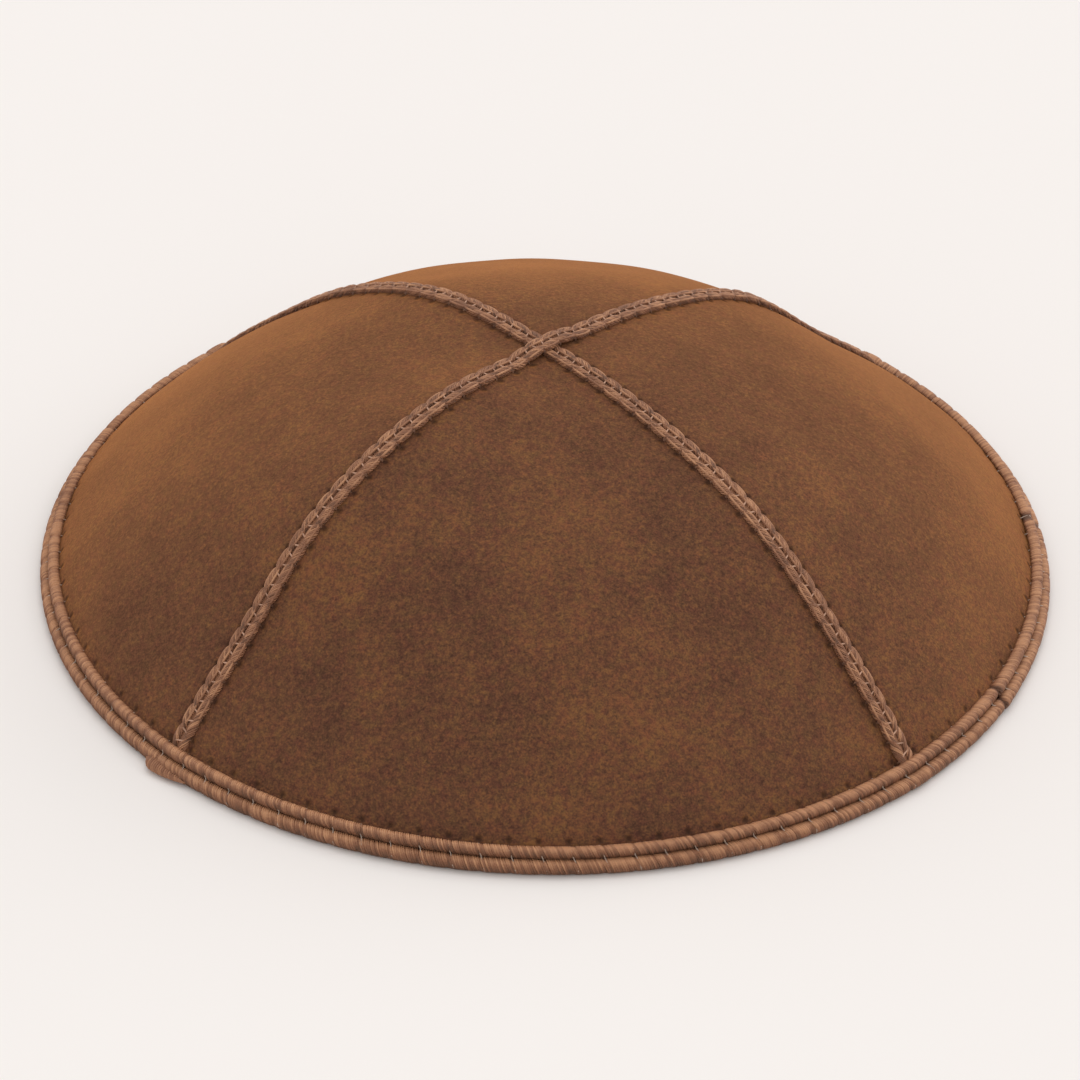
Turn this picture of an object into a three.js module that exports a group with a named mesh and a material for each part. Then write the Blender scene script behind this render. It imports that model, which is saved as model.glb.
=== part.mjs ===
// Suede skullcap (kippah): four suede panels sewn edge to edge into a shallow dome, flat braid over
// the two long seams, and a folded braid binding round the rim.
// Millimetres, +Z up. The cap stands on its rim: the origin is on the table under the crown.
// Azimuth 0 is the front (-Y) and grows towards the right (+X). "down" is 0 at the crown and 1 at
// the cut edge of the suede, and "out" is the distance out of the suede's outer face.
import * as THREE from "three";

// Driving dimensions. The suede is cut back a little inside the fold of the binding, and each
// panel's point is cut blunt at the crown.
const EDGE_RADIUS = 83.6;
const EDGE_HEIGHT = 1.3;
const CROWN_HEIGHT = 43.2;
const CROWN_SINK = -0.5;
const SUEDE_THICKNESS = 1.2;
const SUEDE_TRIM = 0.9;
const POINT_TRIM = 1.2;
const PANEL_COUNT = 4;
const PIECE_GAP = 0.3;
const BRAID_WIDTH = 3.3;
const BRAID_THICKNESS = 1.0;
const BRAID_GROOVE = 0.45;
const BINDING_OVERLAP = 3.3;
const BINDING_INSIDE = 3.4;

// How finely the solids are faceted.
const PANEL_ROWS = 16;
const PANEL_COLUMNS = 16;
const SEAM_ROWS = 13;

// The round dome that the panels are cut to, before the soft cap settles.
const RISE = CROWN_HEIGHT - EDGE_HEIGHT;
const DOME_RADIUS = (EDGE_RADIUS ** 2 + RISE ** 2) / (2 * RISE);
const DOME_ANGLE = Math.asin(EDGE_RADIUS / DOME_RADIUS);
const DOME_CENTRE = CROWN_HEIGHT - DOME_RADIUS;
const DOME_ARC = DOME_RADIUS * DOME_ANGLE;
const PANEL_ANGLE = 360 / PANEL_COUNT;

// How far the settled cap stands off the round dome along eight meridians: a quarter, half and three
// quarters of the way down, and how far its edge is pushed out. Rows go round by azimuth, and every
// second row is a seam.
const MERIDIANS = [
  { at: "front", upper: 0.0, middle: 0.1, lower: 0.1, edge: -1.1 },
  { at: "front right seam", upper: 0.0, middle: 1.0, lower: -0.4, edge: 0.3 },
  { at: "right", upper: 0.0, middle: 0.1, lower: 0.2, edge: 0.5 },
  { at: "back right seam", upper: 0.0, middle: 0.2, lower: -2.4, edge: 0.2 },
  { at: "back", upper: 0.3, middle: -1.8, lower: -0.7, edge: 0.0 },
  { at: "back left seam", upper: 1.2, middle: 0.2, lower: -1.3, edge: 0.0 },
  { at: "left", upper: 0.0, middle: 0.1, lower: -0.2, edge: -0.3 },
  { at: "front left seam", upper: 2.6, middle: 2.9, lower: -0.6, edge: -0.6 },
];

// The binding's section, folded round the suede's edge: "up" is the way up the slope from the edge
// and "out" the distance out of the suede. Points that fall below the table are pressed flat on it.
const BINDING_SECTION = [
  { up: BINDING_OVERLAP - 0.1, out: PIECE_GAP },
  { up: BINDING_OVERLAP, out: 0.75 },
  { up: 2.9, out: 1.2 },
  { up: 2.2, out: 1.35 },
  { up: 1.6, out: 1.2 },
  { up: 1.15, out: 0.85 },
  { up: 0.85, out: 0.85 },
  { up: 0.4, out: 1.25 },
  { up: -0.2, out: 1.4 },
  { up: -0.8, out: 1.15 },
  { up: -1.2, out: 0.75 },
  { up: -1.5, out: 0.1 },
  { up: -1.6, out: -0.4 },
  { up: 0.1, out: -2.5 },
  { up: 1.5, out: -2.7 },
  { up: BINDING_INSIDE - 0.4, out: -2.5 },
  { up: BINDING_INSIDE, out: -2.0 },
  { up: BINDING_INSIDE - 0.1, out: -SUEDE_THICKNESS - PIECE_GAP },
  { up: SUEDE_TRIM - PIECE_GAP, out: -SUEDE_THICKNESS - PIECE_GAP },
  { up: SUEDE_TRIM - PIECE_GAP, out: PIECE_GAP },
];

// The flat seam braid's face: two ribs with a groove between them, over a flat back.
const BRAID_PROFILE = [
  { across: -0.5 * BRAID_WIDTH, up: 0.5 * BRAID_THICKNESS },
  { across: -0.38 * BRAID_WIDTH, up: BRAID_THICKNESS },
  { across: -0.18 * BRAID_WIDTH, up: 0.95 * BRAID_THICKNESS },
  { across: 0, up: BRAID_THICKNESS - BRAID_GROOVE },
  { across: 0.18 * BRAID_WIDTH, up: 0.95 * BRAID_THICKNESS },
  { across: 0.38 * BRAID_WIDTH, up: BRAID_THICKNESS },
  { across: 0.5 * BRAID_WIDTH, up: 0.5 * BRAID_THICKNESS },
];

// The seams' two braids. Each runs over the crown from rim to rim, and one crosses over the other:
// its hump is level as far as the other's edge and comes down to the suede at its foot.
const SEAM_BRAIDS = [
  { name: "seam_braid_under", azimuth: 45, crossesOver: false },
  { name: "seam_braid_over", azimuth: -45, crossesOver: true },
];
const HUMP_TOP = BRAID_WIDTH / 2 + 2 * PIECE_GAP;
const HUMP_FOOT = 8;
const HUMP_ROWS = 4;

// The binding's end, tucked out under the rim beside the front left seam. Its section is given in
// parts of its thickness and height.
const TAIL = {
  azimuth: -45.6,
  length: 5.6,
  thickness: 1.4,
  height: 2.0,
  thinnest: 0.2,
  steps: 8,
};
const TAIL_SECTION = [
  { out: 0, up: 0 },
  { out: 0.85, up: 0 },
  { out: 1, up: 0.35 },
  { out: 0.85, up: 0.8 },
  { out: 0.45, up: 1 },
  { out: 0, up: 0.9 },
];

const suede = new THREE.MeshStandardMaterial({ color: 0x704834, roughness: 0.95, metalness: 0 });
const braid = new THREE.MeshStandardMaterial({ color: 0x8c5f44, roughness: 0.85, metalness: 0 });

// A smooth curve through values at equal steps of down, level at the crown. Past the edge it runs
// on straight.
function throughRow(values, down) {
  const last = values.length - 1;
  const step = 1 / last;
  const slopeAt = (k) => {
    if (k === 0) return 0;
    if (k === last) return (values[last] - values[last - 1]) / step;
    return (values[k + 1] - values[k - 1]) / (2 * step);
  };
  if (down > 1) return values[last] + slopeAt(last) * (down - 1);
  const k = Math.min(Math.floor(down / step), last - 1);
  const u = down / step - k;
  const rise = values[k + 1] - values[k];
  const bendA = slopeAt(k) * step - rise;
  const bendB = rise - slopeAt(k + 1) * step;
  return values[k] + u * rise + u * (1 - u) * ((1 - u) * bendA + u * bendB);
}

function standOff(meridian, down) {
  return throughRow([CROWN_SINK, meridian.upper, meridian.middle, meridian.lower, 0], down);
}

// Between its two seams a panel swells as a half sine, so each seam is a soft crease.
function blend(seamA, middle, seamB, across) {
  const straight = THREE.MathUtils.lerp(seamA, seamB, across);
  return straight + (middle - (seamA + seamB) / 2) * Math.sin(Math.PI * across);
}

function domePoint(azimuth, down, out) {
  const turns = (azimuth + PANEL_ANGLE / 2) / PANEL_ANGLE;
  const panel = Math.floor(turns);
  const across = turns - panel;
  const [seamA, middle, seamB] = [-1, 0, 1].map((step) => {
    return MERIDIANS[(2 * panel + step + 2 * MERIDIANS.length) % MERIDIANS.length];
  });
  const lift = blend(standOff(seamA, down), standOff(middle, down), standOff(seamB, down), across);
  const push = blend(seamA.edge, middle.edge, seamB.edge, across) * down ** 3;
  const reach = DOME_RADIUS + lift + out;
  const radius = reach * Math.sin(down * DOME_ANGLE) + push;
  const height = DOME_CENTRE + reach * Math.cos(down * DOME_ANGLE);
  const turn = THREE.MathUtils.degToRad(azimuth);
  return new THREE.Vector3(radius * Math.sin(turn), -radius * Math.cos(turn), height);
}

// A closed solid: a flat outline carried through a row of stations. The outline runs
// counter-clockwise with the stations coming towards the eye. A ring joins its last station to its
// first. Anything else is a wall whose outline goes out along one side and back along the other, so
// each end is closed by a strip between opposite points.
function carry(outline, stations, place, isRing = false) {
  const positions = stations.flatMap((station) => {
    return outline.flatMap((point) => place(point, station).toArray());
  });
  const count = outline.length;
  const spans = isRing ? stations.length : stations.length - 1;
  const index = [];
  for (let span = 0; span < spans; span += 1) {
    const near = span * count;
    const far = ((span + 1) % stations.length) * count;
    for (let i = 0; i < count; i += 1) {
      const next = (i + 1) % count;
      index.push(near + i, near + next, far + next, near + i, far + next, far + i);
    }
  }
  if (!isRing) {
    const end = (stations.length - 1) * count;
    for (let i = 0; i < count / 2 - 1; i += 1) {
      const [a, b, c, d] = [i, i + 1, count - 2 - i, count - 1 - i];
      index.push(a, c, b, a, d, c);
      index.push(end + a, end + b, end + c, end + a, end + c, end + d);
    }
  }
  const geometry = new THREE.BufferGeometry();
  geometry.setAttribute("position", new THREE.Float32BufferAttribute(positions, 3));
  geometry.setIndex(index);
  geometry.computeVertexNormals();
  return geometry;
}

function evenSteps(from, to, steps) {
  return Array.from({ length: steps + 1 }, (_, k) => THREE.MathUtils.lerp(from, to, k / steps));
}

// A suede panel: a three-sided wall, blunt at the crown, whose long sides stop half a gap short of
// the seam lines.
function makePanel(name, azimuth) {
  const columns = evenSteps(0, 1, PANEL_COLUMNS);
  const inner = columns.map((across) => new THREE.Vector2(across, -SUEDE_THICKNESS));
  const outer = columns.map((across) => new THREE.Vector2(across, 0)).reverse();
  const crownCut = POINT_TRIM / DOME_ARC;
  const edgeCut = 1 - SUEDE_TRIM / DOME_ARC;
  const place = (point, down) => {
    const radius = DOME_RADIUS * Math.sin(down * DOME_ANGLE);
    const inset = THREE.MathUtils.radToDeg(Math.asin(PIECE_GAP / 2 / radius));
    const half = PANEL_ANGLE / 2 - inset;
    return domePoint(azimuth + half * (2 * point.x - 1), down, point.y);
  };
  const geometry = carry([...inner, ...outer], evenSteps(crownCut, edgeCut, PANEL_ROWS), place);
  return named(name, geometry, suede);
}

function braidSection() {
  const back = BRAID_PROFILE.map((point) => new THREE.Vector2(point.across, 0));
  const face = BRAID_PROFILE.map((point) => new THREE.Vector2(point.across, point.up));
  return [...back, ...face.reverse()];
}

function makeSeamBraid({ name, azimuth, crossesOver }) {
  const start = domePoint(azimuth, 1, 0).setZ(0).normalize();
  const acrossWay = start.clone().cross(new THREE.Vector3(0, 0, 1));
  const end = 1 - (BINDING_OVERLAP + PIECE_GAP) / DOME_ARC;
  const foot = HUMP_FOOT / DOME_ARC;
  const top = HUMP_TOP / DOME_ARC;
  const side = [...evenSteps(end, foot, SEAM_ROWS), ...evenSteps(foot, top, HUMP_ROWS).slice(1)];
  const stations = [...side.map((down) => -down), 0, ...side.toReversed()];
  const place = (point, station) => {
    const down = Math.abs(station);
    const hump = 1 - THREE.MathUtils.smoothstep(down, top, foot);
    const lift = crossesOver ? hump * (BRAID_THICKNESS + PIECE_GAP) : 0;
    const along = station < 0 ? azimuth : azimuth + 180;
    const middle = domePoint(along, down, PIECE_GAP + lift + point.y);
    return middle.addScaledVector(acrossWay, point.x);
  };
  return named(name, carry(braidSection(), stations, place), braid);
}

function bindingPoint(point, azimuth) {
  const placed = domePoint(azimuth, 1 - point.x / DOME_ARC, point.y);
  placed.z = Math.max(placed.z, 0);
  return placed;
}

function makeBinding(name) {
  const outline = BINDING_SECTION.map((point) => new THREE.Vector2(point.up, point.out));
  const steps = PANEL_COUNT * PANEL_COLUMNS;
  const azimuths = evenSteps(-PANEL_ANGLE / 2, 360 - PANEL_ANGLE / 2, steps).slice(0, -1);
  return named(name, carry(outline, azimuths, bindingPoint, true), braid);
}

// The tucked end: a small fold of braid lying against the outside of the binding, fullest a quarter
// of the way along from its left end and fading to the right.
function makeTail(name) {
  const section = BINDING_SECTION.map((point) => new THREE.Vector2(point.up, point.out));
  const rimReach = Math.max(...section.map((point) => {
    const placed = bindingPoint(point, TAIL.azimuth);
    return Math.hypot(placed.x, placed.y);
  }));
  const outline = TAIL_SECTION.map((point) => new THREE.Vector2(point.out, point.up));
  const spread = THREE.MathUtils.radToDeg(TAIL.length / rimReach);
  const place = (point, along) => {
    const swell = Math.sin(Math.PI * Math.sqrt(along)) ** 0.8;
    const fullness = THREE.MathUtils.lerp(TAIL.thinnest, 1, swell);
    const radius = rimReach + PIECE_GAP + point.x * TAIL.thickness * fullness;
    const turn = THREE.MathUtils.degToRad(TAIL.azimuth + spread * (along - 0.5));
    const height = TAIL.height * (0.5 + (point.y - 0.5) * fullness);
    return new THREE.Vector3(radius * Math.sin(turn), -radius * Math.cos(turn), height);
  };
  return named(name, carry(outline, evenSteps(1, 0, TAIL.steps), place), braid);
}

function named(name, geometry, material) {
  const mesh = new THREE.Mesh(geometry, material);
  mesh.name = name;
  return mesh;
}

const skullcap = new THREE.Group();
["front", "right", "back", "left"].forEach((side, k) => {
  skullcap.add(makePanel(`panel_${side}`, k * PANEL_ANGLE));
});
SEAM_BRAIDS.forEach((seam) => skullcap.add(makeSeamBraid(seam)));
skullcap.add(makeBinding("rim_braid"));
skullcap.add(makeTail("braid_tail"));

export default skullcap;
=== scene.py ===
"""Looks of a brown suede skullcap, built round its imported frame.

Four suede panels make a shallow dome. A flat two-ribbed braid covers each of the two long seams, a
folded braid binds the rim, and the binding's end is tucked out at the front left. Lengths are in
millimetres until a mesh is written, and azimuth 0 is the front (-Y), growing towards the right.
"""
import logging
import math
from dataclasses import dataclass
from enum import Enum

import bpy
import numpy as np
from mathutils import Matrix, Vector


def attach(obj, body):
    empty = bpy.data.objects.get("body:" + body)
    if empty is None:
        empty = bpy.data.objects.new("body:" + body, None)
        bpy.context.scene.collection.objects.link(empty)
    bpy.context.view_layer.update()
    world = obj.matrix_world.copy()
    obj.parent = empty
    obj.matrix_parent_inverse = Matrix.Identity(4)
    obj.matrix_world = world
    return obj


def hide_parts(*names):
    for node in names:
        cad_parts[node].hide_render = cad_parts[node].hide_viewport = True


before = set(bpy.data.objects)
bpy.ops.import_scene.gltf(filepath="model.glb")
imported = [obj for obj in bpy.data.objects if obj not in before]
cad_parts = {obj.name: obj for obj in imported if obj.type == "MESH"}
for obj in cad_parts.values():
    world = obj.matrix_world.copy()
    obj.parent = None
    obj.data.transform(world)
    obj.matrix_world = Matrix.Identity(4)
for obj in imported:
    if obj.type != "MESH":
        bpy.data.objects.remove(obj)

Array = np.ndarray
Tree = bpy.types.NodeTree
Socket = bpy.types.NodeSocket
MM = 0.001
LOG = logging.getLogger("skullcap")
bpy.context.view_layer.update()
# Tone of the cord inside a binding, painted dark as the shade that shows between its strands.
CORE_GAP_SHADE = -0.6
# The values between which nearly all of a noise texture lies.
NOISE_LOW, NOISE_HIGH = 0.3, 0.7


# ---------------------------------------------------------------- colours, nodes and meshes


def linear(colour: str, alpha: float = 1.0) -> tuple[float, float, float, float]:
    """Turns an sRGB hex colour into linear light.

    Args:
        colour: Six hex digits with or without a leading #.
        alpha: Opacity kept as it is.

    Returns:
        Red, green, blue and alpha.
    """
    digits = colour.lstrip("#")
    channels = [int(digits[i : i + 2], 16) / 255 for i in (0, 2, 4)]
    red, green, blue = (
        c / 12.92 if c <= 0.04045 else ((c + 0.055) / 1.055) ** 2.4 for c in channels
    )
    return red, green, blue, alpha


def connect(tree: Tree, node: bpy.types.Node, inputs: dict[str | int, object]) -> None:
    """Sets or links a node's inputs.

    Args:
        tree: The material's node tree.
        node: The node.
        inputs: For each input, by name or number, a plain value or the output socket to link.
    """
    for key, value in inputs.items():
        if isinstance(value, Socket):
            tree.links.new(value, node.inputs[key])
        else:
            node.inputs[key].default_value = value


def add_node(
    tree: Tree,
    kind: str,
    settings: dict[str, object] | None = None,
    inputs: dict[str | int, object] | None = None,
    stops: dict[float, str] | None = None,
) -> bpy.types.Node:
    """Adds one shader node, sets it and links it.

    Args:
        tree: The material's node tree.
        kind: The node's Blender type name.
        settings: Node properties by name.
        inputs: For each input, by name or number, a plain value or the output socket to link.
        stops: For a colour ramp, its hex colours by position, in rising order.

    Returns:
        The new node.
    """
    node = tree.nodes.new(kind)
    for name, value in (settings or {}).items():
        setattr(node, name, value)
    connect(tree, node, inputs or {})
    for number, (position, colour) in enumerate((stops or {}).items()):
        ramp = node.color_ramp.elements
        stop = ramp[number] if number < len(ramp) else ramp.new(position)
        stop.position = position
        stop.color = linear(colour)
    return node


def new_material(name: str) -> tuple[bpy.types.Material, Tree, bpy.types.Node]:
    """Starts a material.

    Args:
        name: What the real material is.

    Returns:
        The material, its node tree and its shader.
    """
    made = bpy.data.materials.new(name)
    made.use_nodes = True
    return made, made.node_tree, made.node_tree.nodes["Principled BSDF"]


def stacked(*coordinates: Array) -> Array:
    """Makes points of coordinates that may be single rows or columns of one grid."""
    return np.stack(np.broadcast_arrays(*coordinates), -1)


def grid_quads(
    rows: int, columns: int, wrap_rows: bool = False, wrap_columns: bool = False
) -> Array:
    """Four-sided faces of a grid of points numbered row by row.

    Each face goes down a row first and then along a column, so it faces the side that row direction
    crossed with column direction points to.

    Args:
        rows: Rows of points.
        columns: Points in each row.
        wrap_rows: Whether the last row joins the first.
        wrap_columns: Whether each row's last point joins its first.

    Returns:
        Point numbers, four to a face.
    """
    row = np.arange(rows if wrap_rows else rows - 1)[:, None]
    column = np.arange(columns if wrap_columns else columns - 1)[None, :]
    below = (row + 1) % rows
    beside = (column + 1) % columns
    corners = (
        row * columns + column,
        below * columns + column,
        below * columns + beside,
        row * columns + beside,
    )
    return np.stack(corners, -1).reshape(-1, 4)


def make_piece(
    name: str,
    points: Array,
    faces: list[Array],
    material: bpy.types.Material,
    attributes: dict[str, Array] | None = None,
) -> bpy.types.Object:
    """Writes a mesh into the scene, smooth shaded, with its place in its points.

    Args:
        name: The piece's name.
        points: Points in millimetres, in any grid shape.
        faces: Arrays of point numbers, one row to a face.
        material: The piece's finish.
        attributes: Values at the points, one number or a row of three numbers each.

    Returns:
        The new object.
    """
    flat = np.asarray(points, np.float32).reshape(-1, 3) * MM
    corners = np.concatenate([f.ravel() for f in faces]).astype(np.int32)
    sizes = np.concatenate([np.full(len(f), f.shape[1], np.int32) for f in faces])
    starts = np.concatenate([[0], np.cumsum(sizes)[:-1]]).astype(np.int32)
    mesh = bpy.data.meshes.new(name)
    mesh.vertices.add(len(flat))
    mesh.vertices.foreach_set("co", flat.ravel())
    mesh.loops.add(len(corners))
    mesh.loops.foreach_set("vertex_index", corners)
    mesh.polygons.add(len(sizes))
    mesh.polygons.foreach_set("loop_start", starts)
    mesh.update(calc_edges=True)
    mesh.validate()
    mesh.shade_smooth()
    for key, values in (attributes or {}).items():
        values = np.asarray(values, np.float32)
        is_vector = values.shape[-1] == 3 and values.ndim > 1
        layer = mesh.attributes.new(key, "FLOAT_VECTOR" if is_vector else "FLOAT", "POINT")
        layer.data.foreach_set("vector" if is_vector else "value", values.ravel())
    mesh.materials.append(material)
    piece = bpy.data.objects.new(name, mesh)
    bpy.context.scene.collection.objects.link(piece)
    return piece


def tubes(
    paths: Array, radius: float | Array, sides: int, axis: int = 0
) -> tuple[Array, list[Array]]:
    """Closed round tubes along many paths at once.

    At each point of a path, a ring stands square to it: point + r (cos a * A + sin a * B), where A
    is a chosen axis made square to the path and B is the path's direction crossed with A.

    Args:
        paths: Points of the paths, as (paths, points, 3). No path runs along the chosen axis.
        radius: One radius, or one for each point of each path.
        sides: Points in a ring.
        axis: Number of the chosen axis.

    Returns:
        The rings' points as (paths, points, sides, 3), and faces: the walls and the end caps.
    """
    count, steps = paths.shape[:2]
    travel = np.gradient(paths, axis=1)
    travel /= np.linalg.norm(travel, axis=-1, keepdims=True)
    first = np.eye(3)[axis] - travel[..., axis, None] * travel
    first /= np.linalg.norm(first, axis=-1, keepdims=True)
    second = np.cross(travel, first)
    angle = np.linspace(0, 2 * math.pi, sides, endpoint=False)[:, None]
    size = np.broadcast_to(np.asarray(radius, float), (count, steps))[..., None, None]
    ring = np.cos(angle) * first[..., None, :] + np.sin(angle) * second[..., None, :]
    points = paths[..., None, :] + size * ring
    wall = grid_quads(steps, sides, wrap_columns=True)[:, ::-1]
    start = np.arange(sides)[None, ::-1]
    end = (steps - 1) * sides + np.arange(sides)[None, :]
    shift = (np.arange(count) * steps * sides)[:, None, None]
    faces = [(f[None] + shift).reshape(-1, f.shape[1]) for f in (wall, start, end)]
    return points, faces


def joined(parts: list[tuple[Array, list[Array]]]) -> tuple[Array, list[Array]]:
    """Puts several sets of points and faces together as one set.

    Args:
        parts: Points and faces of each part.

    Returns:
        All the points as rows, and all the faces with their point numbers moved on.
    """
    points = [np.reshape(p, (-1, 3)) for p, _ in parts]
    starts = np.cumsum([0] + [len(p) for p in points])
    faces = [f + start for (_, fs), start in zip(parts, starts) for f in fs]
    return np.concatenate(points), faces


def bell(distance: Array, width: float) -> Array:
    """A smooth bump: 1 at no distance and falling to about a third at one width."""
    return np.exp(-((distance / width) ** 2))


def to_nearest(value: Array, pitch: float, phase: float = 0.0) -> Array:
    """Signed distance from a value to the nearest multiple of the pitch, moved on by the phase."""
    return (value - phase + pitch / 2) % pitch - pitch / 2


# ---------------------------------------------------------------- the shape that everything follows


@dataclass(frozen=True)
class Meridian:
    """How far the settled cap stands off the round dome along one line from crown to rim.

    Attributes:
        upper: Distance a quarter of the way down.
        middle: Distance half way down.
        lower: Distance three quarters of the way down.
        edge: How far the cut edge is pushed out level.
    """

    upper: float
    middle: float
    lower: float
    edge: float


@dataclass(frozen=True)
class Dome:
    """The outer face of the suede, the same surface as the frame's panels.

    Attributes:
        edge_radius: Radius of the round cut edge.
        edge_height: Height of the cut edge over the table.
        crown_height: Height of the round dome's top.
        crown_sink: Distance off the round dome at the crown.
        panel_angle: Degrees round that a panel takes up.
        meridians: The lines in order round from the front, along seams and panels' middles in turn.
    """

    edge_radius: float = 83.6
    edge_height: float = 1.3
    crown_height: float = 43.2
    crown_sink: float = -0.5
    panel_angle: float = 90.0
    meridians: tuple[Meridian, ...] = (
        Meridian(0.0, 0.1, 0.1, -1.1),  # front
        Meridian(0.0, 1.0, -0.4, 0.3),
        Meridian(0.0, 0.1, 0.2, 0.5),  # right
        Meridian(0.0, 0.2, -2.4, 0.2),
        Meridian(0.3, -1.8, -0.7, 0.0),  # back
        Meridian(1.2, 0.2, -1.3, 0.0),
        Meridian(0.0, 0.1, -0.2, -0.3),  # left
        Meridian(2.6, 2.9, -0.6, -0.6),
    )

    @property
    def rise(self) -> float:
        """Height of the round dome above its cut edge."""
        return self.crown_height - self.edge_height

    @property
    def radius(self) -> float:
        """Radius of the sphere that the round dome is part of."""
        return (self.edge_radius**2 + self.rise**2) / (2 * self.rise)

    @property
    def angle(self) -> float:
        """Angle at the sphere's centre from the crown to the cut edge."""
        return math.asin(self.edge_radius / self.radius)

    @property
    def arc(self) -> float:
        """Length of the round dome's surface from the crown to the cut edge."""
        return self.radius * self.angle

    def stand_off(self, meridian: Array, down: Array) -> Array:
        """Distance off the round dome along a meridian.

        A smooth curve goes through the meridian's values, level at the crown, with each slope that
        of the two values beside it, and past the edge it runs on straight.

        Args:
            meridian: Numbers of meridians.
            down: 0 at the crown and 1 at the cut edge.

        Returns:
            The distances.
        """
        inside = [[m.upper, m.middle, m.lower, 0.0] for m in self.meridians]
        knots = np.array([[self.crown_sink, *row] for row in inside])
        steps = knots.shape[1] - 1
        slopes = np.zeros_like(knots)
        slopes[:, 1:-1] = (knots[:, 2:] - knots[:, :-2]) / 2
        slopes[:, -1] = knots[:, -1] - knots[:, -2]
        place = np.clip(down, 0, 1) * steps
        k = np.minimum(place.astype(int), steps - 1)
        u = place - k
        start, end = knots[meridian, k], knots[meridian, k + 1]
        bend_a = slopes[meridian, k] - (end - start)
        bend_b = (end - start) - slopes[meridian, k + 1]
        curve = start + u * (end - start) + u * (1 - u) * ((1 - u) * bend_a + u * bend_b)
        return curve + slopes[meridian, -1] * steps * np.maximum(down - 1, 0)

    def point(self, azimuth: Array, down: Array, out: Array | float = 0.0) -> Array:
        """A point on or off the suede's outer face.

        Between its two seams a panel swells as a half sine, and every distance off the round dome
        is added to the sphere's radius.

        Args:
            azimuth: Degrees round from the front.
            down: 0 at the crown and 1 at the cut edge.
            out: Distance out of the suede's outer face.

        Returns:
            Points, with x, y and z last.
        """
        azimuth, down, out = np.broadcast_arrays(azimuth, down, out)
        turns = (azimuth + self.panel_angle / 2) / self.panel_angle
        panel = np.floor(turns).astype(int)
        across = turns - panel
        numbers = [(2 * panel + step) % len(self.meridians) for step in (-1, 0, 1)]
        edges = np.array([m.edge for m in self.meridians])

        def swell(seam_a: Array, middle: Array, seam_b: Array) -> Array:
            """Blends a panel's two seams and its middle."""
            straight = seam_a + (seam_b - seam_a) * across
            return straight + (middle - (seam_a + seam_b) / 2) * np.sin(np.pi * across)

        reach = self.radius + swell(*(self.stand_off(n, down) for n in numbers)) + out
        level = reach * np.sin(down * self.angle) + swell(*(edges[n] for n in numbers)) * down**3
        height = self.crown_height - self.radius + reach * np.cos(down * self.angle)
        turn = np.radians(azimuth)
        return np.stack([level * np.sin(turn), -level * np.cos(turn), height], -1)


DOME = Dome()


@dataclass(frozen=True)
class Seam:
    """A braided seam over the crown, from rim to rim.

    Its own coordinates are the distance along it from the crown, negative on its first half, the
    distance across it and the distance out of the suede.

    Attributes:
        name: The frame's node name.
        azimuth: Where its first half meets the rim.
        lift: How far it is raised where it crosses over the other seam's braid.
        pitch: Length of one full zigzag of its stitching.
        hole_across: Distance of the needle holes from the seam line.
        hump_top: Distance from the crown to which the lift is whole.
        hump_foot: Distance from the crown at which it has run out.
    """

    name: str
    azimuth: float
    lift: float
    pitch: float = 3.6
    hole_across: float = 1.95
    hump_top: float = 2.2
    hump_foot: float = 8.0

    @property
    def across_way(self) -> Array:
        """Level direction square to the seam, to the left of the way it runs."""
        turn = math.radians(self.azimuth)
        return np.array([-math.cos(turn), -math.sin(turn), 0.0])

    def hump(self, along: Array) -> Array:
        """Height of the smooth hump over the crossing: level on top, then an S curve down."""
        u = np.clip((np.abs(along) - self.hump_top) / (self.hump_foot - self.hump_top), 0, 1)
        return self.lift * (1 - u * u * (3 - 2 * u))

    def place(self, local: Array) -> Array:
        """Turns points from the seam's own coordinates to the cap's.

        Args:
            local: Points along, across and out.

        Returns:
            The points' x, y and z.
        """
        along, across, out = np.moveaxis(local, -1, 0)
        azimuth = np.where(along < 0, self.azimuth, self.azimuth + 180)
        middle = DOME.point(azimuth, np.abs(along) / DOME.arc, out + self.hump(along))
        return middle + across[..., None] * self.across_way

    def hole_phase(self, side: float) -> float:
        """Where the first needle hole is along one side: the two sides are half a pitch apart."""
        return 0.0 if side > 0 else self.pitch / 2


SEAM_UNDER = Seam("seam_braid_under", 45.0, 0.0)
SEAM_OVER = Seam("seam_braid_over", -45.0, 1.0)
SEAMS = (SEAM_UNDER, SEAM_OVER)


@dataclass(frozen=True)
class Rim:
    """The way round the rim.

    Its own coordinates are the distance round the cut edge from the front, the distance up the
    slope from the edge and the distance out of the suede.

    Attributes:
        name: The frame's node name.
        stitches: Number of stitches in the binding.
        hole_up: Distance of the needle holes up from the edge.
        join_azimuth: Where the binding's two ends meet.
    """

    name: str = "rim_braid"
    stitches: int = 108
    hole_up: float = 3.75
    join_azimuth: float = 62.0

    @property
    def length(self) -> float:
        """Length of the cut edge."""
        return 2 * math.pi * DOME.edge_radius

    @property
    def pitch(self) -> float:
        """Length of one stitch."""
        return self.length / self.stitches

    def distance(self, azimuth: float | Array) -> float | Array:
        """Distance round the cut edge from the front to an azimuth."""
        return azimuth / 360 * self.length

    def place(self, local: Array) -> Array:
        """Turns points from the rim's own coordinates to the cap's, and lays them on the table.

        Args:
            local: Points around, up and out.

        Returns:
            The points' x, y and z.
        """
        around, up, out = np.moveaxis(local, -1, 0)
        azimuth = around / self.length * 360
        placed = DOME.point(azimuth, 1 - up / DOME.arc, out)
        placed[..., 2] = np.maximum(placed[..., 2], 0.0)
        return placed


RIM = Rim()


# ---------------------------------------------------------------- finishes


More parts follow.
